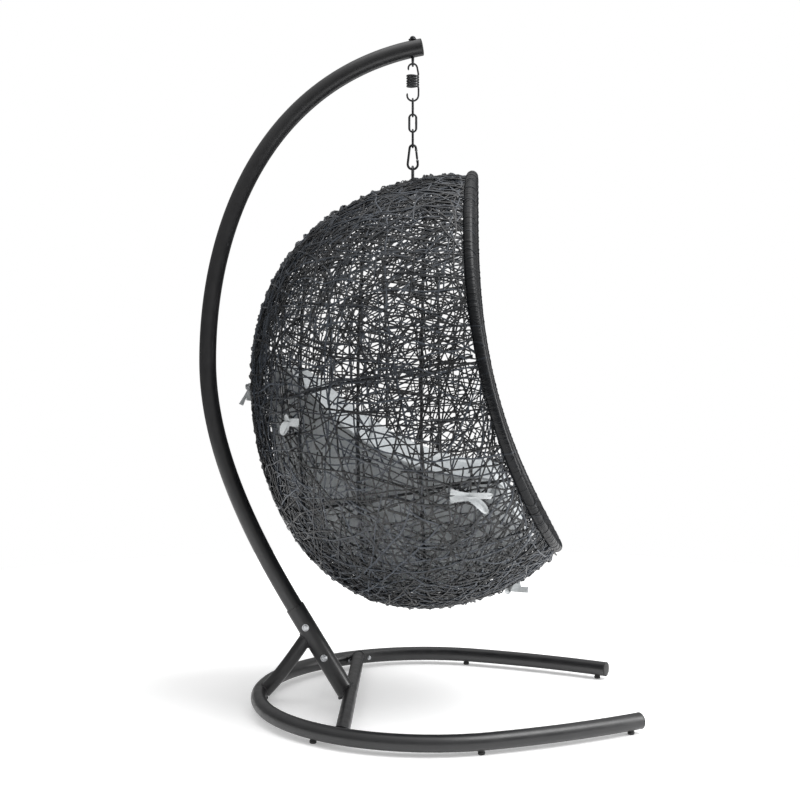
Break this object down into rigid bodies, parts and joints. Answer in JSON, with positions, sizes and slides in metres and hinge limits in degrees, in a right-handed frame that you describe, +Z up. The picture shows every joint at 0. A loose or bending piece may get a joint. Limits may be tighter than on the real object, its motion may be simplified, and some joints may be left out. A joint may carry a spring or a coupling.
{
  "type": "hanging egg chair",
  "caption": "Woven egg-shaped seat with a grey cushion, hung by a spring, chain and snap hook from a C-shaped tube stand with a horseshoe base.",
  "frame": {"origin": "on the floor, below the hang point, at the centre of the bounding box's base", "axes": "+Z up, +X towards the open front of the seat, +Y towards the seat's left side; the pole is at -X"},
  "size_m": [1.2629, 1.0466, 1.9715],
  "materials": {
    "powder_coat": "satin black powder coat on steel tube",
    "black_steel": "black coated steel wire",
    "zinc": "bright zinc plate",
    "black_plastic": "matte black moulded rubber",
    "rattan": "charcoal synthetic rattan strand, slightly glossy",
    "cushion_fabric": "mid grey woven outdoor polyester",
    "tie_fabric": "light grey woven ribbon"
  },
  "bodies": {
    "stand": {"base_arm_right": "powder_coat", "arm_tip_cap_right": "black_plastic", "bar_saddle_right": "powder_coat", "foot_rear_right": "black_plastic", "foot_middle_right": "black_plastic", "foot_front_right": "black_plastic", "saddle_screw_rear_right": "zinc", "saddle_screw_front_right": "zinc", "base_arm_left": "powder_coat", "arm_tip_cap_left": "black_plastic", "bar_saddle_left": "powder_coat", "foot_rear_left": "black_plastic", "foot_middle_left": "black_plastic", "foot_front_left": "black_plastic", "saddle_screw_rear_left": "zinc", "saddle_screw_front_left": "zinc", "base_joiner": "powder_coat", "cross_bar": "powder_coat", "socket_tube": "powder_coat", "rear_strut": "powder_coat", "pole": "powder_coat", "pole_end_cap": "black_plastic", "socket_bolt_upper": "zinc", "socket_nut_upper": "zinc", "socket_bolt_lower": "zinc", "socket_nut_lower": "zinc", "eye_bolt": "black_steel", "eye_bolt_dome_nut": "zinc"},
    "spring": {"hanging_spring": "black_steel"},
    "link_upper": {"chain_link_upper": "black_steel"},
    "link_middle": {"chain_link_middle": "black_steel"},
    "link_lower": {"chain_link_lower": "black_steel"},
    "snap_hook": {"snap_hook": "black_steel"},
    "snap_gate": {"snap_gate": "black_steel"},
    "seat": {"rim_hoop": "rattan", "spine_rib": "black_steel", "hoop_rib_rear": "black_steel", "hoop_rib_middle": "black_steel", "hoop_rib_front": "black_steel", "side_rib_upper": "black_steel", "side_rib_lower": "black_steel", "seat_eye": "black_steel", "basket_weave": "rattan", "seat_cushion": "cushion_fabric", "cushion_tie_rear": "tie_fabric", "cushion_tie_rear_right": "tie_fabric", "cushion_tie_rear_left": "tie_fabric", "cushion_tie_front_right": "tie_fabric", "cushion_tie_front_left": "tie_fabric", "cushion_tie_bottom": "tie_fabric"}
  },
  "joints": [
    {"name": "swing_fore_aft", "type": "hinge", "parent": "stand", "child": "spring", "pos_m": [0, 0, 1.8835], "axis": [0, -1, 0], "range_deg": [-1.5, 15]},
    {"name": "spring_stretch", "type": "slide", "parent": "spring", "child": "link_upper", "axis": [0, 0, -1], "range_m": [0, 0.04], "stiffness_N_per_m": 15000, "springref_m": -0.02, "deforming": ["hanging_spring"]},
    {"name": "swing_side", "type": "hinge", "parent": "link_upper", "child": "link_middle", "pos_m": [0, 0, 1.741], "axis": [1, 0, 0], "range_deg": [-8, 8]},
    {"name": "seat_turn", "type": "hinge", "parent": "link_middle", "child": "link_lower", "pos_m": [0, 0, 1.6924], "axis": [0, 0, 1], "range_deg": [-20, 20]},
    {"name": "snap_turn", "type": "hinge", "parent": "link_lower", "child": "snap_hook", "pos_m": [0, 0, 1.6476], "axis": [0, 0, 1], "range_deg": [-20, 20]},
    {"name": "seat_nod", "type": "hinge", "parent": "snap_hook", "child": "seat", "pos_m": [0, 0, 1.5873], "axis": [-0.0698, -0.9976, 0], "range_deg": [-1, 8]},
    {"name": "snap_gate_opening", "type": "hinge", "parent": "snap_hook", "child": "snap_gate", "pos_m": [0.01295, 0, 1.6117], "axis": [0, -1, 0], "range_deg": [0, 25], "stiffness_Nm_per_rad": 0.05, "springref_deg": -17.19}
  ]
}
